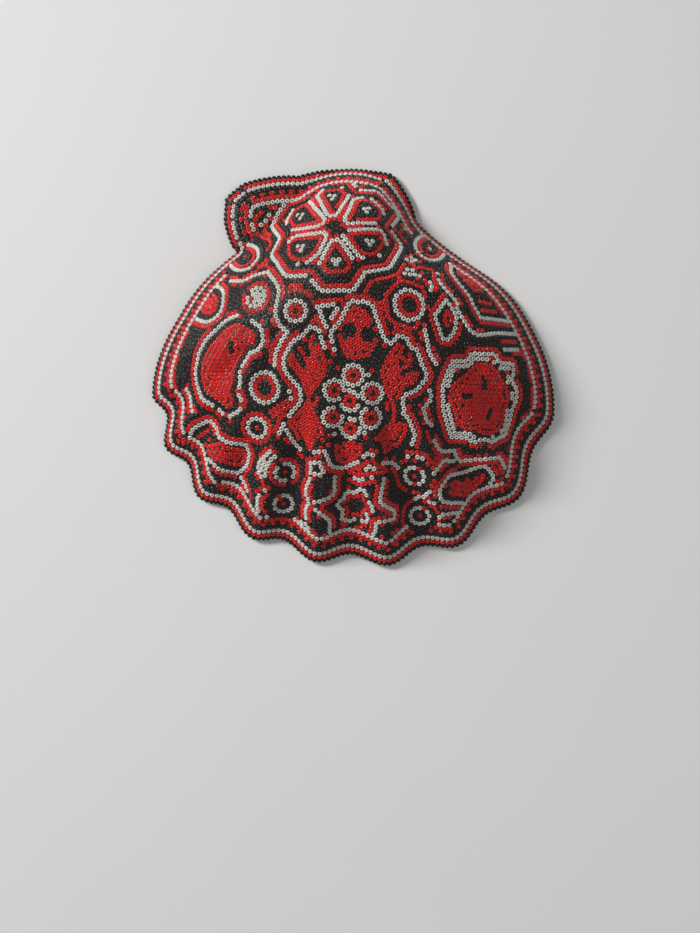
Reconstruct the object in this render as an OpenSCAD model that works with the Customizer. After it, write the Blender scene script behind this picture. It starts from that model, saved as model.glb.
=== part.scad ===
// A scallop valve that lies on its rim with its convex side up. The outside has a coat of wax,
// and glass seed beads cover the wax. The umbo points to +Y, the ventral margin to -Y.

/* [Shell] */
// Width of the beaded shell across its ribs
shell_w = 158; // [120:1:180]
// Height of the beaded shell above the face that it rests on
shell_h = 42; // [34:1:52]
// Thickness of the valve
valve_t = 2.6; // [1.8:0.1:3.5]
// Height of a rib above the mean surface, at the margin
rib_h = 2; // [0:0.1:3]
// How far a rib pushes the margin outwards
rib_out = 2.4; // [0:0.1:3.5]
// Height of the ears above the resting face
ear_h = 6; // [3:0.5:9]

/* [Wax] */
// Thickness of the wax coat
wax_t = 0.8; // [0.5:0.1:1.5]

/* [Beads] */
// Outer diameter of a bead
bead_d = 1.84; // [1.6:0.02:2.2]
// Length of a bead along its hole
bead_l = 1.4; // [1:0.1:1.8]
// Diameter of the hole in a bead
bead_hole = 0.8; // [0.6:0.05:1]
// Clearance between two beads of a row
bead_gap = 0.14; // [0.1:0.01:0.3]

/* [Hidden] */

// The plan below is drawn for this width, and scaled to shell_w
plan_w = 158;
plan = shell_w / plan_w;
// Highest point of the dome, and the point that the ribs spread from
apex = [-5, 25] * plan;
umbo = [-8, 62] * plan;
// Margin without ribs and ears: direction from the apex, and distance
disc_knots = [[0, 70], [20, 51.5], [42, 44.5], [60, 48.5], [76, 53.5], [97, 52], [124, 43],
    [152, 45.5], [180, 61], [205, 80], [230, 91.5], [260, 99.5], [290, 104], [310, 103], [335, 91.5]];
// Margin of the two ears: direction from the apex, and distance
ear_knots = [[45, 0], [46, 44], [55, 49], [68, 55.5], [76, 54.5], [90, 53.5], [108, 53.5],
    [129, 61.5], [137, 62], [145, 56.5], [152, 49], [154, 45], [155, 0]];
// Directions of the rib crests from the umbo, from straight down and positive to the left
rib_crests = [-47, -33, -20.5, -9, 3, 14, 25, 35, 44];
// Ribs fade out over this angle beyond the first and the last crest
rib_fade = 11;
// Ribs start at this distance from the umbo and are full at this one
rib_start = 45 * plan;
rib_full = 125 * plan;
// The dome falls as this power of the distance from the apex
dome_power = 2.1;
// The ears stay level as this power of the distance, and join the dome with this one
ear_power = 8;
join_power = 3;

// A bead's ends are rounded by a ball, as a share of the bead's own diagonal
bead_round = 0.9;
// Samples along a row, the span that a slope is measured over, and the slack at sharp corners
row_steps = 720;
slope_step = 2;
row_slack = 0.05;

// Layers are named by their depth below the tips of the beads
wax_depth = bead_l;
valve_depth = bead_l + wax_t;
hollow_depth = valve_depth + valve_t;
// Height of the outermost bead tips above the resting face
tip_lift = 2.6;
// Three rows of beads follow the margin, then a border of four rows
pitch = bead_d + bead_gap;
edge_rows = 3;
border_rows = 4;
edge_w = edge_rows * pitch;
border_w = border_rows * pitch;

// The layers share one grid, so that they meet face to face
spokes = 120;
step_a = 360 / spokes;
apex_ring = 0;
neck_ring = 2;
belly_ring = 6;
inner_ring = 9;
border_ring = inner_ring + 2;
margin_ring = inner_ring + 3;

function wrap(a) = a - 360 * floor(a / 360);
function unit(a) = [cos(a), sin(a)];
function mix(a, b, u) = a + (b - a) * u;
function clamp(v) = min(1, max(0, v));

// A closed smooth curve through the knots of the disc
function knot(i) = let (n = len(disc_knots), turn = floor(i / n))
    disc_knots[i - n * turn] + [360 * turn, 0];
function tangent(i) = let (a = knot(i - 1), b = knot(i + 1)) (b[1] - a[1]) / (b[0] - a[0]);
function knot_before(a) = max([for (i = [0:len(disc_knots) - 1]) if (disc_knots[i][0] <= a) i]);
function hermite(p, q, mp, mq, u) = p * (2 * u - 3) * u * u + p + q * (3 - 2 * u) * u * u
    + mp * u * (1 - u) * (1 - u) - mq * u * u * (1 - u);
function smooth_r(a) = let (b = wrap(a), i = knot_before(b), p = knot(i), q = knot(i + 1),
    h = q[0] - p[0]) hermite(p[1], q[1], tangent(i) * h, tangent(i + 1) * h, (b - p[0]) / h) * plan;

// Ribs as a wave in the direction from the umbo, from -1 in a groove to 1 on a crest
rib_steps = [for (i = [0:len(rib_crests) - 1]) [rib_crests[i], i]];
function rib_angle(p) = let (d = p - umbo) atan2(-d[0], -d[1]);
function rib_window(a) = clamp((a - rib_crests[0]) / rib_fade + 1)
    * clamp((rib_crests[len(rib_crests) - 1] - a) / rib_fade + 1);
function rib_wave(p) = let (a = rib_angle(p)) cos(360 * lookup(a, rib_steps)) * rib_window(a);

// Margin of the disc, and of the disc with its ears, in a direction from the apex
function disc_r(a) = let (r = smooth_r(a)) r + rib_out * rib_wave(apex + r * unit(a));
function margin_r(a) = max(disc_r(a), lookup(wrap(a), ear_knots) * plan);

// Height of the surface at a plan point and a depth
function lift(depth) = tip_lift * max(0, 1 - depth / valve_depth);
function dome(t) = max(0, 1 - pow(t, dome_power));
function ear(a, r, depth) = let (out = clamp((margin_r(a) - disc_r(a)) / 2))
    ear_h * out * max(0, 1 - pow(r / (margin_r(a) - depth), ear_power));
function rib(p, t) = rib_h * rib_wave(p) * clamp((norm(p - umbo) - rib_start) / (rib_full - rib_start))
    * clamp(5 * (1 - t));
function height(p, depth) = let (d = p - apex, a = atan2(d[1], d[0]), r = norm(d),
    t = r / (disc_r(a) - depth), h = (shell_h - tip_lift - depth) * dome(t))
    lift(depth) + pow(pow(h, join_power) + pow(ear(a, r, depth), join_power), 1 / join_power)
    + rib(p, t);

// Distance of ring j from the apex: rings on the disc, in the border or the ear, and the edge rows
function field_r(a) = margin_r(a) - set_back[round(wrap(a) / step_a) % spokes];
function inner_r(a) = min(disc_r(a), field_r(a) - border_w);
function ring_r(a, j, depth) = j <= inner_ring ? inner_r(a) * j / inner_ring
    : j < border_ring ? (inner_r(a) + field_r(a)) / 2
    : j == border_ring ? field_r(a) : margin_r(a) - depth;
function grid_point(i, j, depth) = let (a = i * step_a, p = apex + ring_r(a, j, depth) * unit(a))
    [p[0], p[1], height(p, depth)];

// A closed solid between two depths, over spokes i0 to i1 and rings j0 to j1 of the grid.
// It goes all the way round when i1 is i0 plus the number of spokes, and is cut at both ends
// otherwise. Ring 0 is a single point, the apex.
module layer(i0, i1, j0, j1, top, bottom) {
    whole = i1 - i0 == spokes;
    cols = whole ? spokes : i1 - i0 + 1;
    steps = i1 - i0 - 1;
    first = max(j0, 1);
    tip = j0 == 0 ? 1 : 0;
    side = tip + cols * (j1 - first + 1);
    points = [for (depth = [top, bottom]) each concat(
        tip == 1 ? [grid_point(i0, 0, depth)] : [],
        [for (j = [first:j1], i = [0:cols - 1]) grid_point(i0 + i, j, depth)])];
    function at(s, i, j) = s * side + (j == 0 ? 0 : tip + (j - first) * cols + i % cols);
    fan = tip == 0 ? [] : [for (i = [0:steps]) [at(0, 0, 0), at(0, i, 1), at(0, i + 1, 1)]];
    cells = [for (j = [first:1:j1 - 1], i = [0:steps])
        each quad(at(0, i, j), at(0, i, j + 1), at(0, i + 1, j + 1), at(0, i + 1, j))];
    roof = concat(fan, cells);
    base = [for (f = roof) [f[2] + side, f[1] + side, f[0] + side]];
    outer_wall = [for (i = [0:steps])
        each quad(at(0, i, j1), at(1, i, j1), at(1, i + 1, j1), at(0, i + 1, j1))];
    inner_wall = tip == 1 ? [] : [for (i = [0:steps])
        each quad(at(0, i, j0), at(0, i + 1, j0), at(1, i + 1, j0), at(1, i, j0))];
    ends = whole ? [] : [for (j = [j0:1:j1 - 1]) each concat(
        quad(at(0, 0, j), at(1, 0, j), at(1, 0, j + 1), at(0, 0, j + 1)),
        quad(at(0, cols - 1, j), at(0, cols - 1, j + 1), at(1, cols - 1, j + 1), at(1, cols - 1, j)))];
    polyhedron(points, concat(roof, base, outer_wall, inner_wall, ends));
}
function quad(a, b, c, d) = [[a, b, c], [a, c, d]];

// A field of packed beads between two directions from the apex, which are multiples of step_a
module bead_field(from, to, j0, j1) {
    layer(from / step_a, to / step_a, j0, j1, 0, wax_depth);
}

// One bead with its hole along Z, centred on its middle and rounded at both ends
module bead() {
    difference() {
        intersection() {
            cylinder(d = bead_d, h = bead_l, center = true, $fn = 20);
            sphere(d = bead_round * norm([bead_d, bead_l]), $fn = 20);
        }
        cylinder(d = bead_hole, h = bead_l + 1, center = true, $fn = 16);
    }
}

// Points along a row of beads at a distance inside the margin, and the length up to each
function margin_point(s) = apex + margin_r(s * 360 / row_steps) * unit(s * 360 / row_steps);
function row_point(s, inset) = let (d = margin_point(s + 1) - margin_point(s - 1))
    margin_point(s) + inset * [-d[1], d[0]] / norm(d);
function lengths(points, i = 0, sum = 0) = i == len(points) - 1 ? [sum]
    : concat([sum], lengths(points, i + 1, sum + norm(points[i + 1] - points[i])));
margin_points = [for (s = [0:row_steps - 1]) margin_point(s)];

// How far the fields stay back from the margin along each spoke, so that they clear the edge rows
// square to the margin, and clear the lean of the innermost row's beads too
lean_room = bead_l / 2;
back_step = 0.25;
function margin_room(p) = min([for (q = margin_points) norm(p - q)]);
function back_at(a, t) = margin_room(apex + (margin_r(a) - t) * unit(a)) >= edge_w + lean_room ? t
    : back_at(a, t + back_step);
set_back = [for (i = [0:spokes - 1]) back_at(i * step_a, edge_w)];
function clear_of_margin(p, inset) = min([for (q = margin_points) norm(p - q)]) > inset - row_slack;

// A row of separate beads, each with its hole square to the surface. Row 0 is the outermost.
module bead_row(row) {
    inset = (row + 0.5) * pitch;
    path = [for (s = [0:row_steps - 1]) let (p = row_point(s, inset)) if (clear_of_margin(p, inset)) p];
    closed = concat(path, [path[0]]);
    along = lengths(closed);
    total = along[len(along) - 1];
    count = floor(total / pitch);
    stations = [for (i = [0:len(closed) - 1]) [along[i], i]];
    spots = [for (n = [0:count - 1]) let (at = lookup((n + row / 2) * total / count, stations),
        i = floor(at)) mix(closed[i], closed[min(i + 1, len(closed) - 1)], at - i)];
    for (n = [0:count - 1]) {
        // A bead that would touch the one before it, at a sharp corner, is left out
        room = norm(spots[n] - spots[(n + count - 1) % count]);
        if (room > bead_d + bead_gap / 2) place_bead(spots[n]);
    }
}

// A bead at a plan point, tilted with the slope of the surface there
module place_bead(p) {
    depth = wax_depth / 2;
    dx = height(p + [slope_step, 0], depth) - height(p - [slope_step, 0], depth);
    dy = height(p + [0, slope_step], depth) - height(p - [0, slope_step], depth);
    translate([p[0], p[1], height(p, depth)])
        rotate([0, atan(norm([dx, dy]) / (2 * slope_step)), atan2(-dy, -dx)])
            bead();
}

// The scallop valve, hollow underneath, with its two ears
module shell_valve() {
    color("linen") layer(0, spokes, apex_ring, margin_ring, valve_depth, hollow_depth);
}

// The coat that holds the beads
module wax_coat() {
    color("saddlebrown") layer(0, spokes, apex_ring, margin_ring, wax_depth, valve_depth);
}

// Three rows of beads along the margin, from the outermost inwards
module edge_black_beads() {
    color("black") bead_row(0);
}

module edge_red_beads() {
    color("firebrick") bead_row(1);
}

module edge_white_beads() {
    color("ivory") bead_row(2);
}

// The toothed border of the disc, and its short stretch above the umbo
module border_beads() {
    color("darkred") bead_field(153, 405, inner_ring, border_ring);
}

module umbo_border_beads() {
    color("darkred") bead_field(84, 102, inner_ring, border_ring);
}

// The two ears
module left_ear_beads() {
    color("maroon") bead_field(102, 153, inner_ring, border_ring);
}

module right_ear_beads() {
    color("maroon") bead_field(45, 84, inner_ring, border_ring);
}

// The six-petalled flower over the umbo
module flower_beads() {
    color("firebrick") bead_field(36, 147, apex_ring, inner_ring);
}

// Rosettes and a small figure on the left shoulder, and rosettes on the right one
module left_rosette_beads() {
    color("rosybrown") bead_field(147, 186, apex_ring, inner_ring);
}

module right_rosette_beads() {
    color("rosybrown") bead_field(12, 36, apex_ring, inner_ring);
}

// The large figures on the left and the right flank
module left_figure_beads() {
    color("crimson") bead_field(186, 222, apex_ring, inner_ring);
}

module right_figure_beads() {
    color("crimson") bead_field(312, 348, apex_ring, inner_ring);
}

// The comb-shaped figure on the right flank
module comb_figure_beads() {
    color("indianred") bead_field(348, 372, apex_ring, inner_ring);
}

// The turtle: head, patterned shell, and the flippers on either side of it
module turtle_head_beads() {
    color("red") bead_field(222, 312, apex_ring, neck_ring);
}

module turtle_shell_beads() {
    color("dimgray") bead_field(252, 288, neck_ring, belly_ring);
}

module turtle_left_side_beads() {
    color("red") bead_field(222, 252, neck_ring, belly_ring);
}

module turtle_right_side_beads() {
    color("red") bead_field(288, 312, neck_ring, belly_ring);
}

// The figures between the turtle and the border, from left to right
module lower_left_figure_beads() {
    color("brown") bead_field(222, 246, belly_ring, inner_ring);
}

module lower_rosette_beads() {
    color("gray") bead_field(246, 261, belly_ring, inner_ring);
}

module star_beads() {
    color("darkslategray") bead_field(261, 279, belly_ring, inner_ring);
}

module lower_ring_beads() {
    color("gray") bead_field(279, 297, belly_ring, inner_ring);
}

module lower_right_figure_beads() {
    color("brown") bead_field(297, 312, belly_ring, inner_ring);
}

shell_valve();
wax_coat();
edge_black_beads();
edge_red_beads();
edge_white_beads();
border_beads();
umbo_border_beads();
left_ear_beads();
right_ear_beads();
flower_beads();
left_rosette_beads();
right_rosette_beads();
left_figure_beads();
right_figure_beads();
comb_figure_beads();
turtle_head_beads();
turtle_shell_beads();
turtle_left_side_beads();
turtle_right_side_beads();
lower_left_figure_beads();
lower_rosette_beads();
star_beads();
lower_ring_beads();
lower_right_figure_beads();
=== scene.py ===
import math

import bpy
import numpy as np
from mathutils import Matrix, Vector
from mathutils.kdtree import KDTree


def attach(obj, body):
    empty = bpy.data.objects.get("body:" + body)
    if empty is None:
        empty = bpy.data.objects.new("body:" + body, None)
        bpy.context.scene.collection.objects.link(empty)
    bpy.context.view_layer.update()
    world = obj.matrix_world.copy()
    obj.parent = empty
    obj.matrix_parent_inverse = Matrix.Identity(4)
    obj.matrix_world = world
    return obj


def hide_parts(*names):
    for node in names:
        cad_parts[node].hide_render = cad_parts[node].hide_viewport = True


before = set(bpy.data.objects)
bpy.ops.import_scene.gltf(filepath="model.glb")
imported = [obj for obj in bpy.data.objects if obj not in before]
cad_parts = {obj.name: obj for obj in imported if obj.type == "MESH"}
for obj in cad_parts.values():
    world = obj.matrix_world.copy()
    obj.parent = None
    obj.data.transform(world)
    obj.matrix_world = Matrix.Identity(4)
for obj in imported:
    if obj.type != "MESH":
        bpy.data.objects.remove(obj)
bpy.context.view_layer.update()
print("frame loaded,", len(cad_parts), "nodes")

# The shape and the bead plan are worked out in millimetres, and meshes are scaled to metres
mm = 0.001

# The shell's surface, the same as the solid one
shell = {"tall": 42.0, "tipLift": 2.6, "ribHigh": 2.0, "ribOut": 2.4, "earHigh": 6.0,
         "wallThick": 2.6, "waxThick": 0.8, "beadLong": 1.4}
apex = np.array([-5.0, 25.0])      # highest point of the dome
umbo = np.array([-8.0, 62.0])      # the ribs spread from here
# Direction from the apex and distance, for the disc and for the two ears
discKnots = np.array([[0, 70], [20, 51.5], [42, 44.5], [60, 48.5], [76, 53.5], [97, 52], [124, 43],
                      [152, 45.5], [180, 61], [205, 80], [230, 91.5], [260, 99.5], [290, 104],
                      [310, 103], [335, 91.5]], float)
earKnots = np.array([[45, 0], [46, 44], [55, 49], [68, 55.5], [76, 54.5], [90, 53.5], [108, 53.5],
                     [129, 61.5], [137, 62], [145, 56.5], [152, 49], [154, 45], [155, 0]], float)
ribCrests = [-47, -33, -20.5, -9, 3, 14, 25, 35, 44]
ribFade, ribStart, ribFull = 11.0, 45.0, 125.0
domePower, earPower, joinPower = 2.1, 8.0, 3.0
valveDepth = shell["beadLong"] + shell["waxThick"]
hollowDepth = valveDepth + shell["wallThick"]


def unit(a):
    a = np.radians(a)
    return np.stack([np.cos(a), np.sin(a)], -1)


def smoothR(a):
    b = np.mod(a, 360.0)
    knots = np.vstack([discKnots[-2:] - [360, 0], discKnots, discKnots[:3] + [360, 0]])
    i = np.searchsorted(discKnots[:, 0], b, side="right") + 1
    slope = (knots[2:, 1] - knots[:-2, 1]) / (knots[2:, 0] - knots[:-2, 0])
    p, q = knots[i], knots[i + 1]
    h = q[..., 0] - p[..., 0]
    u = (b - p[..., 0]) / h
    return (p[..., 1] * (1 + (2 * u - 3) * u * u) + q[..., 1] * (3 - 2 * u) * u * u
            + slope[i - 1] * h * u * (1 - u) ** 2 - slope[i] * h * u * u * (1 - u))


def ribWave(p):
    d = p - umbo
    a = np.degrees(np.arctan2(-d[..., 0], -d[..., 1]))
    n = np.interp(a, ribCrests, np.arange(len(ribCrests)))
    window = (np.clip((a - ribCrests[0]) / ribFade + 1, 0, 1)
              * np.clip((ribCrests[-1] - a) / ribFade + 1, 0, 1))
    return np.cos(2 * np.pi * n) * window


def discR(a):
    r = smoothR(a)
    return r + shell["ribOut"] * ribWave(apex + r[..., None] * unit(a))


def marginR(a):
    ear = np.interp(np.mod(a, 360), earKnots[:, 0], earKnots[:, 1], left=0, right=0)
    return np.maximum(discR(a), ear)


def polar(p):
    d = p - apex
    return np.degrees(np.arctan2(d[..., 1], d[..., 0])), np.hypot(d[..., 0], d[..., 1])


def heightAt(p, depth):
    a, r = polar(p)
    dr, mr = discR(a), marginR(a)
    t = r / (dr - depth)
    dome = np.maximum(0, 1 - t ** domePower) * (shell["tall"] - shell["tipLift"] - depth)
    out = np.clip((mr - dr) / 2, 0, 1)
    ear = shell["earHigh"] * out * np.maximum(0, 1 - (r / (mr - depth)) ** earPower)
    lift = shell["tipLift"] * max(0, 1 - depth / valveDepth)
    du = np.hypot(p[..., 0] - umbo[0], p[..., 1] - umbo[1])
    rib = (shell["ribHigh"] * ribWave(p) * np.clip((du - ribStart) / (ribFull - ribStart), 0, 1)
           * np.clip(5 * (1 - t), 0, 1))
    return lift + (dome ** joinPower + ear ** joinPower) ** (1 / joinPower) + rib


# How beads are laid over the surface
beads = {"wide": 1.84, "long": 1.4, "hole": 0.76, "pitch": 1.93, "nearest": 0.86, "spareNearest": 0.8,
         "beside": 1.2, "settleRoom": 0.985, "settleTurns": (24, 16), "tilt": 4.0, "vary": 0.03,
         "around": 12}
midDepth = beads["long"] / 2
fineStep = 0.25


def slopeAt(p, e=0.8):
    dx = (heightAt(p + [e, 0], midDepth) - heightAt(p - [e, 0], midDepth)) / (2 * e)
    dy = (heightAt(p + [0, e], midDepth) - heightAt(p - [0, e], midDepth)) / (2 * e)
    return np.stack([dx, dy], -1)


def lifted(p):
    return np.column_stack([p, heightAt(p, midDepth)])


def stepOver(p, way, distance):
    # plan points walked over the surface
    parts = max(1, int(abs(distance) / 0.6))
    for _ in range(parts):
        g = slopeAt(p)
        stretch = np.sqrt((way * way).sum(-1) + (way * g).sum(-1) ** 2)
        p = p + way * (distance / parts / stretch)[..., None]
    return p


def fineLine(points, closed, soft=1.0):
    # corner points joined, sampled finely and softened
    p = np.array(points, float)
    if closed:
        p = np.vstack([p, p[:1]])
    s = np.concatenate([[0], np.cumsum(np.hypot(*np.diff(p, axis=0).T))])
    n = max(8, int(s[-1] / fineStep))
    t = np.linspace(0, s[-1], n, endpoint=not closed)
    q = np.column_stack([np.interp(t, s, p[:, 0]), np.interp(t, s, p[:, 1])])
    half = int(soft / fineStep / 2)
    if closed:
        return sum(np.roll(q, k, 0) for k in range(-half, half + 1)) / (2 * half + 1)
    padded = np.vstack([np.repeat(q[:1], half, 0), q, np.repeat(q[-1:], half, 0)])
    return sum(padded[k:k + len(q)] for k in range(2 * half + 1)) / (2 * half + 1)


def signedArea(line):
    x, y = line.T
    return 0.5 * np.sum(x * np.roll(y, -1) - y * np.roll(x, -1))


def sideRow(line, closed, offset):
    # a line moved sideways over the surface, positive to the left of its travel, and what of it
    # is not too near to another part of the line
    t = np.roll(line, -1, 0) - np.roll(line, 1, 0) if closed else np.gradient(line, axis=0)
    t = t / np.maximum(np.hypot(*t.T), 1e-9)[:, None]
    n = np.column_stack([-t[:, 1], t[:, 0]])
    g = slopeAt(line)
    n = n - g * ((g * n).sum(1) / (1 + (g * g).sum(1)))[:, None]
    n = n / np.hypot(*n.T)[:, None]
    moved = stepOver(line, n, offset)
    a, b = lifted(moved), lifted(line)
    far = np.empty(len(a))
    for k in range(0, len(a), 400):
        far[k:k + 400] = np.sqrt(((a[k:k + 400, None] - b[None]) ** 2).sum(-1).min(1))
    return moved, far > 0.95 * abs(offset)


def threaded(path, kept, closed, shift=0.0):
    # runs of bead places along the kept parts of a path
    path = path[kept]
    if len(path) < 2:
        return []
    p3 = lifted(path)
    hop = np.sqrt(((np.roll(p3, -1, 0) - p3) ** 2).sum(1))
    if not closed:
        hop[-1] = 99
    breaks = np.flatnonzero(hop > 2.6)
    loop = len(breaks) == 0
    if loop:
        runs = [np.arange(len(path) + 1) % len(path)]
    else:
        order = (np.arange(len(path)) + breaks[-1] + 1) % len(path)
        ends = np.flatnonzero(np.isin(order, breaks)) + 1
        runs = [run for run in np.split(order, ends) if len(run)]
    made = []
    for run in runs:
        q, q3 = path[run], p3[run]
        s = np.concatenate([[0], np.cumsum(np.sqrt((np.diff(q3, axis=0) ** 2).sum(1)))])
        if loop:
            n = max(3, round(s[-1] / beads["pitch"]))
            at = (np.arange(n) + shift) * s[-1] / n % s[-1]
        else:
            n = int(s[-1] / beads["pitch"] + 0.35) + 1
            room = s[-1] - (n - 1) * beads["pitch"]
            at = np.clip(room / 2 + np.arange(n) * beads["pitch"], 0, s[-1])
        made.append(np.column_stack([np.interp(at, s, q[:, 0]), np.interp(at, s, q[:, 1])]))
    return made


def insideOf(p, line):
    x, y = p[:, 0][:, None], p[:, 1][:, None]
    ax, ay = line.T
    bx, by = np.roll(ax, -1), np.roll(ay, -1)
    crosses = (ay > y) != (by > y)
    at = ax + (y - ay) * (bx - ax) / np.where(by == ay, 1e-9, by - ay)
    return (crosses & (x < at)).sum(1) % 2 == 1


def insideMargin(p, inset=0.85):
    a, r = polar(p)
    return r < marginR(a) - inset


def lattice(line):
    # hexagonal places inside a closed line, as wide apart over the surface as beads are
    mid = line.mean(0)
    g = slopeAt(mid[None])[0]
    w, v = np.linalg.eigh(np.eye(2) + np.outer(g, g))
    squeeze = v @ np.diag(w ** -0.5) @ v.T
    reach = int(np.hypot(*(line - mid).T).max() * 1.5 / beads["pitch"]) + 3
    i, j = np.meshgrid(np.arange(-reach, reach + 1), np.arange(-reach, reach + 1))
    hexes = np.column_stack([(i + 0.5 * (j % 2)).ravel(), (j * 0.866).ravel()]) * beads["pitch"]
    p = mid + hexes @ squeeze
    return p[insideOf(p, line)]


class BeadBed:
    # the beads laid so far: places, colours, how firmly each is held, and its piece if it has one
    def __init__(self):
        self.cells, self.spots, self.tints, self.holds, self.homes = {}, [], [], [], []

    def cell(self, p):
        return tuple(int(math.floor(c / 2)) for c in p)

    def free(self, p, reach):
        cx, cy, cz = self.cell(p)
        for x in (cx - 1, cx, cx + 1):
            for y in (cy - 1, cy, cy + 1):
                for z in (cz - 1, cz, cz + 1):
                    for q in self.cells.get((x, y, z), ()):
                        if (p[0] - q[0]) ** 2 + (p[1] - q[1]) ** 2 + (p[2] - q[2]) ** 2 < reach * reach:
                            return False
        return True

    def lay(self, plan, tints, hold, home="", nearest=0.0):
        # beads at the plan points that still have room; tints repeats along them
        plan = np.asarray(plan, float)
        if not len(plan):
            return
        reach = (nearest or beads["nearest"]) * beads["pitch"]
        ok = insideMargin(plan)
        for k, (p, good) in enumerate(zip(lifted(plan), ok)):
            if good and self.free(p, reach):
                self.cells.setdefault(self.cell(p), []).append(tuple(p))
                self.spots.append(p)
                self.tints.append(tints[k % len(tints)])
                self.holds.append(hold)
                self.homes.append(home)

    def recell(self):
        self.cells = {}
        for p in self.spots:
            self.cells.setdefault(self.cell(p), []).append(tuple(p))

    def tree(self):
        tree = KDTree(len(self.spots))
        for i, s in enumerate(self.spots):
            tree.insert(s, i)
        tree.balance()
        return tree

    def fillSpare(self, p, tint, hold):
        # spare places taken one layer of beads after another, the tightest first
        p3 = lifted(p)
        reach = beads["spareNearest"] * beads["pitch"]
        for _ in range(60):
            tree = self.tree()
            d = np.array([tree.find(q)[2] for q in p3])
            live = d >= reach
            p, p3, d = p[live], p3[live], d[live]
            if not len(p):
                break
            near = d < max(reach * 1.2, d.min() + 0.3)
            order = np.argsort(d[near], kind="stable")
            self.lay(p[near][order], tint, hold, nearest=beads["spareNearest"])

    def settle(self, turns, push=0.5):
        # beads that are too near push each other apart, and firmly held ones give way less
        room = beads["pitch"] * beads["settleRoom"]
        w = 1 / np.array(self.holds)
        for _ in range(turns):
            p3 = np.array(self.spots)
            tree = self.tree()
            move = np.zeros((len(p3), 3))
            for i, s in enumerate(p3):
                for co, j, d in tree.find_range(s, room):
                    if j > i and d > 1e-6:
                        way = (s - p3[j]) / d * (room - d) * push
                        share = w[i] / (w[i] + w[j])
                        move[i] += way * share
                        move[j] -= way * (1 - share)
            p = p3[:, :2] + np.clip(move[:, :2], -0.35, 0.35)
            ok = insideMargin(p)
            p[~ok] = p3[~ok][:, :2]
            self.spots = list(lifted(p))
        self.recell()


# The pattern: k is black, r is red, w is white, and rows are written from a figure's own row
figures, rosettes, dots = [], [], []


def shape(points, row, inside="", fill="", outside="", first=False, soft=1.0):
    figures.append({"points": points, "row": row, "inside": inside, "fill": fill, "outside": outside,
                    "closed": True, "first": first, "soft": soft})


def line(points, row, left="", right="", first=False):
    figures.append({"points": points, "row": row, "inside": left, "fill": "", "outside": right,
                    "closed": False, "first": first, "soft": 1.0})


def rosette(x, y, rings):
    rosettes.append({"at": (x, y), "rings": rings})


def spots(points, tint):
    dots.append({"points": points, "tint": tint})


# flower over the umbo: six petals round a black heart
petals = [[(-12, 65), (-10, 66.5), (-5, 66.5), (-3, 64.5), (-7.5, 55)],
          [(2, 61), (6, 61.5), (9.6, 58.3), (10, 56.5), (9.5, 53.7), (-1.4, 52)],
          [(-2, 46), (10, 47.5), (11, 43.5), (9, 40.6), (6.3, 38.5), (3, 39), (0.5, 42.5)],
          [(-6.4, 42.6), (-1, 34.4), (-3, 31.6), (-9.3, 31.4), (-11, 34)],
          [(-11.3, 45.5), (-14, 39.5), (-18, 36.8), (-21, 37), (-23.7, 40), (-24, 43.5), (-21.8, 46)],
          [(-12, 51.7), (-22.5, 52), (-24, 56), (-22, 60), (-18, 61.5), (-16, 58)]]
petalHearts = [(-8, 63), (5, 57), (6, 43.5), (-6.2, 35.5), (-19.5, 42), (-20, 56.5)]
for petal, (x, y) in zip(petals, petalHearts):
    spots([(x - 1, y + 0.6), (x + 1, y + 0.6), (x, y - 1.1)], "w")
    shape(petal, "r", fill="k", outside="w", first=True)
spots([(-5.5, 49), (-7.3, 48), (-3.8, 48.2), (-5.5, 51), (-5.2, 47)], "k")
shape([(-30, 55), (-26, 48.7), (-29, 41), (-23.5, 32.2), (-15.4, 32.3), (-11, 26.5), (-1, 26.5),
       (3.2, 33.2), (12, 35.2), (16.6, 44), (12, 51), (16, 57.8), (9.2, 65.3), (1, 65), (-2, 70),
       (-14.8, 69), (-17, 64.7), (-25, 63)], "r", inside="k", outside="wkr")

# the two roundels by the ears, round in plan on their steep slopes: ring distances and colours
roundels = {"at": [(-42, 41.5), (29.6, 45.2)], "rings": [(6.0, "w"), (4.2, "r"), (2.3, "k"), (7.8,
            "k")]}

# rosettes
rosette(-36, 23.5, "wwwrk")
rosette(-21, 17.5, "krwkr")
rosette(20.5, 20, "kkrwk")
rosette(-32.7, -10, "kkrwk")
rosette(-36, -24.7, "rkwrk")
rosette(23.4, -42.8, "rkwkr")
rosette(26, -58.3, "rkwkr")
rosette(-26, -41.3, "rkwr")
rosette(-27, -53.5, "rkwk")
shape([(16.6, 28.5), (11.4, 22.7), (12.4, 18.5), (12.8, 15.3), (15, 13.3), (20, 11.4), (22.5, 11.3),
       (25.8, 16), (27.3, 19), (26.5, 23), (26, 26.5), (22.6, 27.8), (17.7, 29)], "r")
shape([(35.5, -59), (42.4, -59), (43.4, -60.7), (38.3, -63.3), (35.5, -63.6)], "r", fill="k",
       outside="w", first=True)
shape([(-13, 19), (-5, 19.5), (-9.5, 11.5)], "w", fill="k", outside="r")

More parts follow.
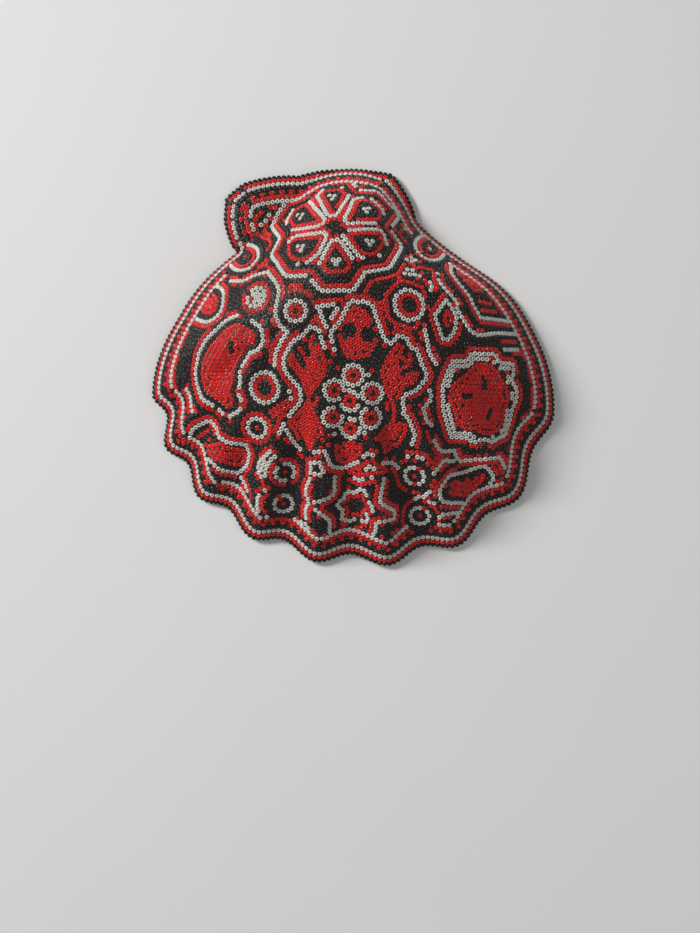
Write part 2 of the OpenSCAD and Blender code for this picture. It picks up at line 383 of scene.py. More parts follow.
# right shoulder
spots([(20, 33.8), (22, 33.7), (23.5, 33.2), (19, 32), (21, 31.7), (22.8, 31.8), (24.5, 31.5),
       (21.6, 39.3), (23.3, 38.2), (22, 37.3), (19.9, 38)], "w")
line([(22, 56), (20.6, 53.5), (19.5, 51.8)], "w", left="r", right="r")
line([(24.5, 35.3), (30, 34.5), (30.3, 29.3), (31.5, 27.6), (30.3, 26)], "r")
line([(25.8, 33.2), (26, 31), (27.5, 28)], "r")
line([(28.2, 29.6), (29.3, 27.4), (28.3, 25.3)], "w")
line([(31.5, 21.5), (33, 24), (34.5, 24.8)], "r")
shape([(34.8, 18.3), (33.6, 16), (34.4, 14), (35.4, 12.3), (36.5, 14.7), (35.9, 17)], "r", fill="r",
       first=True)
shape([(34.5, 22.8), (31.3, 18), (29.8, 16.5), (31.2, 13), (32.2, 9.8), (32.7, 8), (35, 7.6), (36, 9),
       (37.6, 11), (38.5, 17)], "w", inside="k", outside="rk")

# left shoulder and ear
line([(-47, 31.5), (-41, 30.5), (-38, 32), (-32, 33.5), (-29.4, 29.8), (-27, 26), (-27.6, 22),
      (-28.7, 17), (-27.3, 12.7), (-25, 10.8)], "w", left="r")
shape([(-34.5, 40.5), (-35.8, 35.6), (-31, 35.8)], "r", fill="r")
line([(-38.5, 57), (-35.5, 60.3)], "r", first=True)
spots([(-36, 55.3), (-34.3, 57), (-32.8, 59), (-31.3, 59)], "w")
spots([(-34.3, 55), (-32.7, 57.4), (-30.6, 62), (-29, 62)], "r")
shape([(-37.3, 51.7), (-35.3, 53.7), (-31.6, 49.5), (-33.3, 48)], "r", fill="r", first=True)
line([(-64.5, -9), (-62.5, -12.5), (-61.5, -18.5)], "w", right="r")

# small figure on the left shoulder
shape([(-57.5, 26.5), (-54, 27), (-51.8, 24.5), (-52.2, 20), (-54.5, 19), (-58, 20.5)], "r", fill="r",
      outside="kwr", first=True)

# left figure, with its eye
spots([(-45.3, 5), (-45.3, 6.8)], "k")
shape([(-43.5, 13.2), (-40.2, 12), (-36.6, 9.5), (-36.8, 7), (-40, 6), (-41.5, 3.5), (-43.5, -0.5),
       (-44.7, -3), (-45, -7), (-46.8, -11), (-45.2, -15.4), (-47.5, -16.5), (-50.5, -13.6),
       (-55, -10.8), (-56.7, -7), (-57, -3), (-56, 1.7), (-53.6, 5.8), (-49.6, 9.6), (-46.5, 12.3)],
       "r", fill="r", outside="kwrk", first=True, soft=0.4)

# comb figure on the right flank
shape([(42.2, 35.5), (44.5, 35), (48, 31.7), (49.9, 30), (49.8, 28.3), (46.6, 27.8), (43.4, 30.5),
       (41.7, 33)], "r", fill="r", first=True)
line([(40.4, 37), (40.6, 34)], "r", first=True)
line([(48, 23.4), (52.7, 23)], "r", first=True)
line([(48.5, 19.8), (54.8, 19.8)], "r", first=True)
line([(37.8, 40), (37.3, 34.2), (39.6, 30.5), (44.3, 24.5), (45.3, 21.5), (48.2, 16.6), (51.9, 17),
      (59.5, 16.7)], "w", left="k", right="rk")
line([(31.8, 33.5), (31.2, 31.5), (33.3, 28), (36.2, 25), (39.2, 21.2), (38.6, 19.3), (40.8, 16),
      (43.5, 11.8), (46.7, 9.7), (53.8, 11.2), (62.8, 11.7)], "w", right="k")
line([(56.5, 8.3), (62.5, 8.5)], "r")
line([(57, 5.3), (63.5, 5.8)], "w")

# turtle: eyes, head, flippers, tail, shell
rosette(-1.8, 10.2, "kk")
rosette(5.2, 9, "kk")
spots([(-17.7, 5.2), (-17, 3.6), (-16.4, 2), (-19.6, 0.9), (-18.9, -0.7), (-18.2, -2.2)], "k")
spots([(18.9, 1.6), (18.1, 0.2), (17.3, -1.3), (21.8, -2.9), (20.4, -3.8), (18.9, -4.7)], "k")
head = [(0.6, 18.5), (3.8, 17.5), (5.9, 14), (7.3, 11), (8.7, 7.5), (7, 4.4), (5.5, 1.6), (0.2, 0.4),
        (-2.1, 1.3), (-4, 5.2), (-5.3, 9.2), (-2.9, 12.3), (-1.9, 15.5)]
frontLeft = [(-14.7, 8.2), (-12.8, 4.4), (-11, 1), (-10.3, -2.5), (-11, -6), (-13.8, -9.8),
             (-16, -13.3), (-17, -10.6), (-19.2, -6), (-20.6, -4.7), (-23.4, -0.8), (-22, 1.4),
             (-19.5, -0.7), (-19.5, 4.8), (-18.1, 5.8), (-16.4, 3)]
frontRight = [(16.7, 5.5), (18.2, 3.8), (20.6, 1.7), (21, -0.6), (22.8, -3.5), (23.5, -6), (21.3, -8.4),
              (18.5, -9.5), (16.4, -14), (15.4, -17), (12.5, -11.3), (10.7, -6), (10.4, -4.2),
              (12.2, -1.8), (13.6, 1.4), (15.4, 3.8)]
rearLeft = [(-16, -15), (-14.6, -19), (-12.8, -23.5), (-11, -27.5), (-10.3, -29.5), (-14, -29),
            (-16, -32.5), (-17.5, -29), (-20, -29.5), (-21.5, -26), (-24, -23), (-20.5, -20),
            (-17.5, -17)]
rearRight = [(15.4, -18.5), (14.8, -23), (12.4, -24.4), (9.8, -27.3), (8.4, -29.4), (10.9, -29.8),
             (12.4, -35), (14, -31), (16.6, -31.2), (19.5, -26.5), (19.5, -24), (16.6, -23)]
tail = [(-6.6, -31.2), (2.7, -30.2), (3, -34), (-0.6, -36.7), (-3.1, -37.7), (-6.4, -36.3)]
for part in (head, frontLeft, frontRight, rearLeft, rearRight, tail):
    shape(part, "r", fill="r", outside="k", first=True, soft=0.2)
for x, y in [(0, -5.8), (-7.1, -11.2), (7, -12.3), (-1.2, -15), (-7.5, -20.9), (6.5, -21.3), (-1, -25)]:
    rosette(x, y, "krw")
spots([(-8, -0.8), (-5.5, -3), (4.6, -4), (6.8, -4.2), (-13.3, -14.5), (-13.6, -16.3), (12.5, -16),
       (12.6, -18), (-8.7, -27.5), (4.5, -28.6), (-9.3, -31.2)], "r")
spots([(5.6, -5.8), (-12, -15.3), (11.6, -17), (-7.2, -27), (4.3, -26.9)], "w")
shape([(-5.3, 1), (0, -1), (7, -0.8), (9.8, -3.5), (11, -9.5), (13, -20), (7, -29), (-8, -29),
       (-12.8, -23), (-15, -17.5), (-15, -14), (-11.8, -9.7), (-10.3, -4.6)], "k", fill="k")

# rows that wrap the turtle, left side then right side
line([(-12.1, 9.9), (-14.6, 11.7), (-16, 11.4), (-18.1, 8.6), (-21.3, 7), (-23.4, 4.2), (-25.3, 1),
      (-25.5, -2), (-24.1, -5.6), (-21.5, -7.9), (-19.4, -11), (-19.3, -15.2), (-23, -19.3),
      (-25.9, -23.5), (-27.5, -27)], "w", right="rwr")
line([(-12.1, 9.8), (-11, 5.8), (-10, 3), (-8.2, 3.3), (-6.3, 3.5), (-7.2, 6), (-8.6, 8.7),
      (-6.5, 11.7), (-4.3, 14.8), (-2.6, 17.9), (-1, 20.9), (4.3, 20.5), (6.9, 19.4), (8.1, 16),
      (9.6, 11.8), (11.3, 7.4), (13.5, 5.4), (15.8, 8.4), (19.5, 7.9), (20.8, 4.7), (23.3, 3.6),
      (24.3, 0.9), (26.6, -4.2), (27.4, -5.9), (25, -8.9), (22.7, -11.4), (19.9, -12.2), (18, -15),
      (18.9, -17), (18.4, -19.5), (20.6, -21.4), (22, -25), (23.2, -27.8), (22, -31)], "w", left="r")
line([(28.1, -10.7), (29, -13.8), (25.6, -18.2), (27.7, -22.7), (29.5, -24)], "w")
line([(27.3, -26.4), (28.6, -30.2)], "r")
line([(-30, -20.7), (-23, -16.5)], "r", left="r", right="r")
line([(-25.7, -24.1), (-24.2, -27), (-22.4, -30.1), (-19.7, -32.7)], "w")
line([(-27.7, -26.1), (-25.5, -29), (-23, -31.4), (-19.1, -35.4)], "r")
line([(26.1, 10.8), (27.2, 6), (28.6, 2), (30.4, -1.5)], "w")

# right figure
spots([(49.5, -7), (49.5, -9), (42, -13), (43.8, -13), (52, -18.3), (51.4, -20)], "k")
shape([(44, -3.5), (46, -1.3), (51.3, -1), (54, -3), (55.7, -6), (58, -9), (59.3, -12), (59, -15),
       (57.3, -18), (57, -22), (55.5, -25), (52.5, -26.5), (49, -26.3), (45.5, -24.5), (42.4, -25),
       (39.5, -23.5), (38.5, -19), (36.8, -16), (35.8, -13), (37.2, -9), (40.2, -6.6)], "r", fill="r",
       outside="k", first=True, soft=0.2)
shape([(36.9, 0), (42.3, 0), (44.5, 3.2), (53.6, 3), (55.3, 0), (60.7, -0.2), (61.2, -4), (60.3, -6.5),
       (62.6, -9.5), (62.8, -13), (61, -18), (60.5, -22), (58.7, -27.3), (56, -27.8), (53.4, -30),
       (49, -28.8), (46, -30), (42.8, -28.3), (37, -28), (33.6, -18), (33.4, -9), (35, -4)], "w",
       inside="w", outside="rk", soft=0.2)

# lower left figure with its fingers
line([(-60, -27.5), (-55.4, -25.5)], "r", first=True)
line([(-57, -31), (-54.2, -27.8)], "r", first=True)
shape([(-57.2, -31.8), (-50.8, -30.6), (-48.2, -32.2), (-42, -33), (-41, -35), (-42.6, -38.3),
       (-46.2, -38.3), (-50.3, -37), (-53.6, -36)], "r", fill="r", outside="k", first=True)
shape([(-59, -23), (-55, -21.5), (-52, -24.5), (-51.5, -27.8), (-47.6, -30.2), (-41, -30.7),
       (-39.4, -34), (-40.4, -38.7), (-44.2, -41.7), (-51.5, -40.5), (-57.2, -35), (-60, -32),
       (-63.5, -27.5), (-61.8, -24.5)], "w", outside="rk")
shape([(-31, -33.3), (-28.6, -34.6), (-31.5, -37.3), (-33.4, -40.5), (-33.3, -42.8), (-34.8, -43.4),
       (-36, -40.8), (-35.6, -37.8)], "w", fill="w", first=True)
line([(-43.5, -43), (-41.4, -46.7), (-40.6, -49), (-41.2, -52.5), (-40.8, -55.6), (-39, -58)], "w",
      left="r")
line([(-33.6, -48.2), (-35.6, -49.4), (-36.8, -51.9), (-37, -55.5), (-35.2, -59.2)], "w", left="r")

# bottom centre: blocks, star and chevrons
line([(-14.5, -34), (-10.7, -33.4), (-9.4, -36.5), (-8.5, -39), (-6.3, -39.5), (-3.4, -39.8),
      (0.5, -38), (3.4, -37.1), (4.7, -34.5), (7.2, -34.9), (9.9, -37.8), (15, -38), (17, -39.7)], "w",
      right="r")
spots([(5, -40.3), (6.2, -39.2), (7.6, -40.4), (6.4, -40.9)], "w")
shape([(-1.5, -41.3), (2, -40), (5.6, -37.2), (7.4, -36.8), (9.5, -39.3), (12.3, -39.8), (12.3, -41.3),
       (6, -42), (2, -42.6)], "r", fill="r", first=True)
line([(-0.9, -42.6), (2.2, -44.4), (5.6, -43.2), (11.8, -42.9), (10.9, -47.4), (10.1, -52.5),
      (12.9, -54.5), (15.8, -56.3), (15.8, -59.3), (9, -60.8), (8.7, -64.3), (7.3, -66.8)], "w",
      right="r")
shape([(-1.2, -50.2), (1.4, -51), (3.6, -49.4), (4.3, -52.5), (6, -55.2), (3.6, -56.2), (4.3, -59),
       (1.4, -57.4), (-2.6, -58.8), (-2, -55.6), (-4.4, -53.3), (-2.2, -52.3)], "r", fill="k",
       outside="wk", first=True, soft=0.2)
shape([(-15.8, -37.8), (-12.3, -37.9), (-11.2, -41.3), (-13, -42.5), (-15.8, -42)], "w", fill="k",
       outside="r")
line([(-15.9, -43.8), (-17.6, -46.8), (-18, -49.4), (-16.5, -53), (-18, -55), (-18, -59.5)], "w",
      left="r", right="r")
shape([(-13, -44.5), (-9.3, -43.5), (-9, -49.5), (-13.5, -50.5), (-14.3, -48)], "k", fill="k")
line([(-7.1, -43.2), (-7.2, -46.6), (-7.4, -49.6), (-11.2, -51.9), (-16.2, -53.3)], "w", left="r")
line([(-14.9, -55.4), (-12, -57.8), (-8.9, -60.4), (-9.3, -63.5), (-8.7, -66.5)], "w", left="r")
shape([(-13.8, -59.5), (-11, -60.5), (-11, -64.5), (-12.5, -65.5), (-15.5, -62)], "k", fill="k")
line([(-15.9, -60), (-15.6, -62.5), (-13, -65)], "r")
line([(-23, -61), (-21.2, -60.3), (-17.6, -61.6), (-17.2, -63.4), (-14.9, -65.5), (-13.2, -67.4)], "w")
shape([(10.8, -62.5), (16.5, -61.8), (17.5, -64), (14, -66.8), (11, -66)], "k", fill="k")
spots([(11.4, -66.2), (13, -65.8), (15, -65), (16.9, -63.6)], "r")

# lower right figure between chevrons
line([(20.7, -35.4), (25.7, -35.7), (27, -37.5)], "w", left="r")
line([(30.4, -29.5), (32, -32.6), (34, -33.7), (38.1, -33), (40, -35.8), (38.8, -37.3), (34.3, -36.9),
      (32.2, -39.6), (29.2, -43.5)], "w", right="r")
line([(40.4, -37), (45.5, -36.5), (51.8, -36.2), (56.5, -35.7), (58.3, -39.2), (61.2, -43.2),
      (57, -46.1)], "w", right="r")
line([(61.2, -43.2), (63.5, -40.4), (65, -37.2)], "w", right="r")
shape([(37.2, -45.8), (39.2, -44.9), (41.5, -46), (43.1, -44.1), (46.3, -45.7), (47.4, -44),
       (49.8, -41.8), (50.7, -43.2), (48.5, -46), (46.5, -48), (48.2, -49), (48.1, -51.4), (45, -50),
       (43, -50.4), (39.6, -49.9), (37.3, -50.7), (36.5, -49.3), (39, -48)], "r", fill="r", outside="k",
       first=True, soft=0.5)
shape([(51, -39), (53.4, -41.8), (54.6, -43.6), (51.7, -48), (52, -51), (48.1, -55), (42.8, -53.1),
       (34.5, -53), (32.6, -49), (34.6, -45.3), (36.9, -42.5), (40.7, -42), (45, -40.5), (48.8, -39.3)],
       "w", outside="r")
line([(24, -51.7), (25.5, -50.5), (27.3, -51), (29.4, -48.4)], "w")
line([(29, -52.7), (31.7, -53.2)], "w")


# Lay the beads: the margin first, then the figures, then the rows round them, then what is left
bed = BeadBed()
holds = {"margin": 9, "row": 4, "ring": 3, "beside": 2, "fill": 1, "spare": 0.5}
marginRows = [("k", "edge_black_beads"), ("r", "edge_red_beads"), ("w", "edge_white_beads"),
              ("k", ""), ("kr", ""), ("r", ""), ("w", "")]


def marginLine():
    a = np.arange(0, 360, 0.2)
    p = apex + marginR(a)[:, None] * unit(a)
    p = np.vstack([p, p[:1]])
    s = np.concatenate([[0], np.cumsum(np.hypot(*np.diff(p, axis=0).T))])
    at = np.linspace(0, s[-1], int(s[-1] / fineStep), endpoint=False)
    return np.column_stack([np.interp(at, s, p[:, 0]), np.interp(at, s, p[:, 1])])


def layMargin(first, end):
    edge = marginLine()
    for k in range(first, end):
        tints, home = marginRows[k]
        path, kept = sideRow(edge, True, (k + 0.5) * beads["pitch"])
        for run in threaded(path, kept, True, shift=k / 2):
            bed.lay(run, tints, holds["margin"], home)


def layRings(k):
    for r in rosettes:
        if k < len(r["rings"]):
            count = max(1, 6 * k)
            way = unit(np.arange(count) * 360 / count + 15 * k)
            start = np.tile(np.array(r["at"], float), (count, 1))
            bed.lay(stepOver(start, way, k * beads["pitch"]), r["rings"][k], holds["ring"])


def layRoundels():
    for at in roundels["at"]:
        for wide, tint in roundels["rings"]:
            path = np.array(at) + wide * unit(np.arange(0, 360, 1.5))
            for run in threaded(path, np.ones(len(path), bool), True):
                bed.lay(run, tint, holds["ring"])


def layFigure(f):
    path = fineLine(f["points"], f["closed"], f["soft"])
    if f["closed"] and signedArea(path) < 0:
        path = path[::-1]
    f["line"] = path
    for run in threaded(path, np.ones(len(path), bool), f["closed"]):
        bed.lay(run, f["row"], holds["row"])
    if not f["closed"]:
        return
    for k, tint in enumerate(f["inside"]):
        row, kept = sideRow(path, True, (k + 1) * beads["pitch"])
        for run in threaded(row, kept, True):
            bed.lay(run, tint, holds["beside"])
    if f["fill"]:
        bed.lay(lattice(path), f["fill"], holds["fill"])
        lo, hi = path.min(0), path.max(0)
        x, y = np.meshgrid(np.arange(lo[0], hi[0], 0.3), np.arange(lo[1], hi[1], 0.3))
        p = np.column_stack([x.ravel(), y.ravel()])
        bed.fillSpare(p[insideOf(p, path)], f["fill"], holds["fill"])


def layRow(k):
    for f in figures:
        for rows, side in (("outside", -1), ("inside", 1)):
            if k < len(f[rows]) and not (side == 1 and f["closed"]):
                row, kept = sideRow(f["line"], f["closed"], side * (k + 1) * beads["pitch"])
                for run in threaded(row, kept, f["closed"]):
                    bed.lay(run, f[rows][k], holds["beside"])


def laySpare():
    x, y = np.meshgrid(np.arange(-80, 81, 0.4), np.arange(-82, 82, 0.4))
    p = np.column_stack([x.ravel(), y.ravel()])
    bed.fillSpare(p[insideMargin(p)], "k", holds["spare"])


def tintSpare():
    # a spare bead inside a red body is red, and so is one against a white row that has no red beside it
    tree = bed.tree()
    laid = list(bed.tints)
    for i, s in enumerate(bed.spots):
        if bed.holds[i] == holds["spare"]:
            around = tree.find_range(s, beads["beside"] * beads["pitch"])
            near = [laid[j] for _, j, d in around if bed.holds[j] != holds["spare"]]
            inBody = near.count("r") >= 4 and len(set(near)) == 1
            if inBody or ("w" in near and "r" not in near):
                bed.tints[i] = "r"


layMargin(0, 3)
for k in (0, 1, 2, 3):
    layRings(k)
layRoundels()
layMargin(3, len(marginRows))
for d in dots:
    bed.lay(d["points"], d["tint"], holds["ring"])
for first in (True, False):
    for f in figures:
        if f["first"] == first:
            layFigure(f)
for k in range(4):
    layRow(k)
    layRings(k + 4)
for turns in beads["settleTurns"]:
    laySpare()
    bed.settle(turns)
tintSpare()
print("beads laid:", len(bed.spots))


# Which solid field a bead belongs to: sectors from the apex, between rings of the shell
cadPitch = 1.98
innerRing = 9
borderFields = [("border_beads", 153, 405), ("umbo_border_beads", 84, 102),
                ("left_ear_beads", 102, 153), ("right_ear_beads", 45, 84)]
fields = [("flower_beads", 36, 147, 0, 9), ("left_rosette_beads", 147, 186, 0, 9),
          ("right_rosette_beads", 12, 36, 0, 9), ("left_figure_beads", 186, 222, 0, 9),
          ("right_figure_beads", 312, 348, 0, 9), ("comb_figure_beads", 348, 372, 0, 9),
          ("turtle_head_beads", 222, 312, 0, 2), ("turtle_shell_beads", 252, 288, 2, 6),
          ("turtle_left_side_beads", 222, 252, 2, 6), ("turtle_right_side_beads", 288, 312, 2, 6),
          ("lower_left_figure_beads", 222, 246, 6, 9), ("lower_rosette_beads", 246, 261, 6, 9),
          ("star_beads", 261, 279, 6, 9), ("lower_ring_beads", 279, 297, 6, 9),
          ("lower_right_figure_beads", 297, 312, 6, 9)]


def homeOf(p):
    a, r = polar(np.asarray(p[:2], float))
    inner = min(discR(a), marginR(a) - 7 * cadPitch)
    a = a % 360
    ring = r / inner * innerRing
    if ring > innerRing:
        for name, start, end in borderFields:
            if start <= a < end or start <= a + 360 < end:
                return name
    for name, start, end, low, high in fields:
        if (start <= a < end or start <= a + 360 < end) and low <= min(ring, innerRing - 0.001) < high:
            return name
    raise RuntimeError("a bead has no field")


# Material helpers
def newGroup(name, inputs, outputs):
    group = bpy.data.node_groups.new(name, "ShaderNodeTree")
    for label, kind, value in inputs:
        socket = group.interface.new_socket(name=label, in_out="INPUT", socket_type="NodeSocket" + kind)
        socket.default_value = value
    for label, kind in outputs:
        group.interface.new_socket(name=label, in_out="OUTPUT", socket_type="NodeSocket" + kind)
    return group, group.nodes.new("NodeGroupInput"), group.nodes.new("NodeGroupOutput")


def mathNode(tree, how, a, b=None, c=None):
    node = tree.nodes.new("ShaderNodeMath")
    node.operation = how
    for socket, value in zip(node.inputs, (a, b, c)):
        if value is None:
            continue
        if isinstance(value, (int, float)):
            socket.default_value = value
        else:
            tree.links.new(value, socket)
    return node.outputs[0]


def noiseNode(tree, scale, detail=3.0, roughness=0.5):
    place = tree.nodes.new("ShaderNodeTexCoord")
    noise = tree.nodes.new("ShaderNodeTexNoise")
    tree.links.new(place.outputs["Object"], noise.inputs["Vector"])
    if isinstance(scale, (int, float)):
        noise.inputs["Scale"].default_value = scale
    else:
        tree.links.new(scale, noise.inputs["Scale"])
    noise.inputs["Detail"].default_value = detail
    noise.inputs["Roughness"].default_value = roughness
    return noise.outputs["Fac"]


def mixColours(tree, fac, a, b, how="MIX"):
    node = tree.nodes.new("ShaderNodeMix")
    node.data_type = "RGBA"
    node.blend_type = how
    node.clamp_factor = True
    for name, value in (("Factor_Float", fac), ("A_Color", a), ("B_Color", b)):
        socket = next(s for s in node.inputs if s.identifier == name)
        if isinstance(value, (int, float)):
            socket.default_value = value
        elif isinstance(value, tuple):
            socket.default_value = (*value, 1.0)
        else:
            tree.links.new(value, socket)
    return next(s for s in node.outputs if s.identifier == "Result_Color")


def eachBeadGroup():
    # one shade for each bead, and wax smears that come and go over the surface
    group, start, end = newGroup(
        "eachBead",
        [("Colour", "Color", (0.5, 0.5, 0.5, 1)), ("Pale", "Color", (0.5, 0.5, 0.5, 1)),
         ("Smear", "Color", (0.2, 0.1, 0.05, 1)), ("Spread", "Float", 0.2),
         ("Smear Amount", "Float", 0.1), ("Roughness", "Float", 0.15)],
        [("Colour", "Color"), ("Roughness", "Float")])
    island = group.nodes.new("ShaderNodeNewGeometry").outputs["Random Per Island"]
    shade = mathNode(group, "MULTIPLY", island, start.outputs["Spread"])
    colour = mixColours(group, shade, start.outputs["Colour"], start.outputs["Pale"])
    patches = mathNode(group, "SMOOTH_MIN", noiseNode(group, 900.0, 4.0, 0.6), 1.0, 0.1)
    patches = mathNode(group, "MULTIPLY", mathNode(group, "SUBTRACT", patches, 0.52), 6.0)
    patches = mathNode(group, "MINIMUM", mathNode(group, "MAXIMUM", patches, 0.0), 1.0)
    smear = mathNode(group, "MULTIPLY", patches, start.outputs["Smear Amount"])
    colour = mixColours(group, smear, colour, start.outputs["Smear"])
    other = mathNode(group, "FRACT", mathNode(group, "MULTIPLY", island, 17.0))
    rough = mathNode(group, "ADD", mathNode(group, "MULTIPLY", other, 0.08), start.outputs["Roughness"])
    rough = mathNode(group, "ADD", rough, mathNode(group, "MULTIPLY", smear, 0.5))
    group.links.new(colour, end.inputs["Colour"])
    group.links.new(rough, end.inputs["Roughness"])
    return group


def grainGroup():
    # cloudy tone and a fine height, for wax and for shell
    group, start, end = newGroup("grain", [("Scale", "Float", 100.0), ("Fine Scale", "Float", 1500.0)],
                                 [("Cloud", "Float"), ("Height", "Float")])
    cloud = noiseNode(group, start.outputs["Scale"], 5.0, 0.6)
    fine = noiseNode(group, start.outputs["Fine Scale"], 3.0, 0.5)
    height = mathNode(group, "ADD", mathNode(group, "MULTIPLY", cloud, 0.7),
                      mathNode(group, "MULTIPLY", fine, 0.3))
    group.links.new(cloud, end.inputs["Cloud"])
    group.links.new(height, end.inputs["Height"])
    return group


def newMaterial(name, **values):
    material = bpy.data.materials.new(name)
    material.use_nodes = True
    shader = material.node_tree.nodes["Principled BSDF"]
    for key, value in values.items():
        socket = shader.inputs[key]
        socket.default_value = (*value, 1.0) if socket.type == "RGBA" else value
    return material, material.node_tree, shader


beadGroup, grain = eachBeadGroup(), grainGroup()
glass = {
    "r": {"name": "Red", "slot": "red_glass", "colour": (0.74, 0.008, 0.010),
          "pale": (0.86, 0.022, 0.020), "smear": (0.30, 0.02, 0.01), "spread": 0.8,
          "smearAmount": 0.25, "rough": 0.10},
    "w": {"name": "White", "slot": "white_glass", "colour": (0.80, 0.79, 0.75),
          "pale": (0.62, 0.60, 0.54), "smear": (0.42, 0.32, 0.20), "spread": 0.6,
          "smearAmount": 0.22, "rough": 0.12},
    "k": {"name": "Black", "slot": "black_glass", "colour": (0.0035, 0.0035, 0.004),
          "pale": (0.012, 0.011, 0.011), "smear": (0.05, 0.03, 0.018), "spread": 0.8,
          "smearAmount": 0.25, "rough": 0.15},
}


def glassMaterial(look):
    material, tree, shader = newMaterial(
        "glass" + look["name"], **{"Coat Weight": 0.4, "Coat Roughness": 0.04, "IOR": 1.52})
    node = tree.nodes.new("ShaderNodeGroup")
    node.node_tree = beadGroup
    node.inputs["Colour"].default_value = (*look["colour"], 1)
    node.inputs["Pale"].default_value = (*look["pale"], 1)
    node.inputs["Smear"].default_value = (*look["smear"], 1)
    node.inputs["Spread"].default_value = look["spread"]
    node.inputs["Smear Amount"].default_value = look["smearAmount"]
    node.inputs["Roughness"].default_value = look["rough"]
    tree.links.new(node.outputs["Colour"], shader.inputs["Base Color"])
    tree.links.new(node.outputs["Roughness"], shader.inputs["Roughness"])
    return material


for look in glass.values():
    look["material"] = glassMaterial(look)


# Bead meshes
def beadProfile():
    # half outline of a bead, from the foot of its hole round the outside and back into the hole
    r, h, l = beads["wide"] / 2, beads["hole"] / 2, beads["long"] / 2
    return np.array([(h, -l), (0.9 * r, -l), (r, -0.4 * l), (r, 0.35 * l), (0.91 * r, 0.78 * l),
                     (0.71 * r, l), (0.51 * r, 0.9 * l), (h, 0.5 * l)])


def newMesh(name, verts, faces, smooth=True, uv=None):
    # faces is an array of quads
    mesh = bpy.data.meshes.new(name)
    mesh.vertices.add(len(verts))
    mesh.vertices.foreach_set("co", np.asarray(verts, np.float32).ravel())
    mesh.loops.add(faces.size)
    mesh.loops.foreach_set("vertex_index", faces.astype(np.int32).ravel())
    mesh.polygons.add(len(faces))
    mesh.polygons.foreach_set("loop_start", np.arange(0, faces.size, 4, dtype=np.int32))
    mesh.polygons.foreach_set("use_smooth", np.full(len(faces), smooth))
    if uv is not None:
        layer = mesh.uv_layers.new(name="OFBake")
        layer.data.foreach_set("uv", np.asarray(uv, np.float32).ravel())
    mesh.update(calc_edges=True)
    mesh.validate()
    made = bpy.data.objects.new(name, mesh)
    bpy.context.scene.collection.objects.link(made)
    return made


def beadPiece(name, places, rng):
    around, profile = beads["around"], beadProfile()
    rows = len(profile)
    turn = np.arange(around) * 2 * np.pi / around
    x = profile[:, None, 0] * np.cos(turn)[None]
    y = profile[:, None, 0] * np.sin(turn)[None]
    z = np.repeat(profile[:, 1][:, None], around, 1)
    template = np.stack([x, y, z], -1).reshape(-1, 3)
    count = len(places)
    g = slopeAt(places[:, :2], 0.6)
    up = np.column_stack([-g, np.ones(count)])
    up += rng.normal(0, math.tan(math.radians(beads["tilt"])), (count, 3))
    up /= np.linalg.norm(up, axis=1)[:, None]
    side = np.cross(up, rng.normal(size=(count, 3)))
    side /= np.linalg.norm(side, axis=1)[:, None]
    other = np.cross(up, side)
    size = 1 + rng.uniform(-beads["vary"], beads["vary"], (count, 1, 1))
    frames = np.stack([side, other, up], 1)
    verts = (template[None] * size) @ frames + places[:, None]
    i, j = np.meshgrid(np.arange(rows), np.arange(around), indexing="ij")
    quad = np.stack([i * around + j, i * around + (j + 1) % around,
                     (i + 1) % rows * around + (j + 1) % around,
                     (i + 1) % rows * around + j], -1).reshape(-1, 4)
    faces = quad[None] + (np.arange(count) * rows * around)[:, None, None]
    # each bead has its own cell of the map
    across = math.ceil(math.sqrt(count))
    corner = np.stack([np.stack([j, i], -1), np.stack([j + 1, i], -1), np.stack([j + 1, i + 1], -1),
                       np.stack([j, i + 1], -1)], 2).reshape(-1, 4, 2) / [around, rows]
    cell = np.column_stack([np.arange(count) % across, np.arange(count) // across])
    uv = (cell[:, None, None] + 0.04 + 0.92 * corner[None]) / across
    return newMesh(name, verts.reshape(-1, 3) * mm, faces.reshape(-1, 4), uv=uv.reshape(-1, 2))


def camel(name):
    first, *rest = name.split("_")
    return first + "".join(word.capitalize() for word in rest)


def makeBeads():
    rng = np.random.default_rng(11)
    places, tints = np.array(bed.spots), np.array(bed.tints)
    homes = np.array([home or homeOf(p) for p, home in zip(bed.spots, bed.homes)])
    for home in sorted(set(homes)):
        for tint, look in glass.items():
            chosen = (homes == home) & (tints == tint)
            if not chosen.any():
                continue
            piece = beadPiece(camel(home) + look["name"], places[chosen], rng)
            piece.data.materials.append(look["material"])
            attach(piece, "root")
            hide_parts(home)
        print("beads of", home, "made:", int((homes == home).sum()))


makeBeads()


# Wax coat and valve: closed layers on a round grid
layers = {"around": 480, "waxTop": 0.62}
waxLook = {"rough": 0.7, "soft": 0.15, "cloudScale": 180, "grainScale": 2200,
           "dark": (0.012, 0.006, 0.003), "light": (0.06, 0.028, 0.012),
           "bump": 0.35, "bumpDeep": 0.0004}
shellLook = {"rough": 0.3, "coat": 0.3, "cloudScale": 60, "grainScale": 1200, "rays": 58.0,
             "growth": 1400.0, "cream": ((0.78, 0.66, 0.52), (0.86, 0.80, 0.70)),
             "rust": ((0.40, 0.12, 0.06), (0.58, 0.25, 0.14)), "line": (0.45, 0.30, 0.2),
             "bump": 0.3, "bumpDeep": 0.0003}


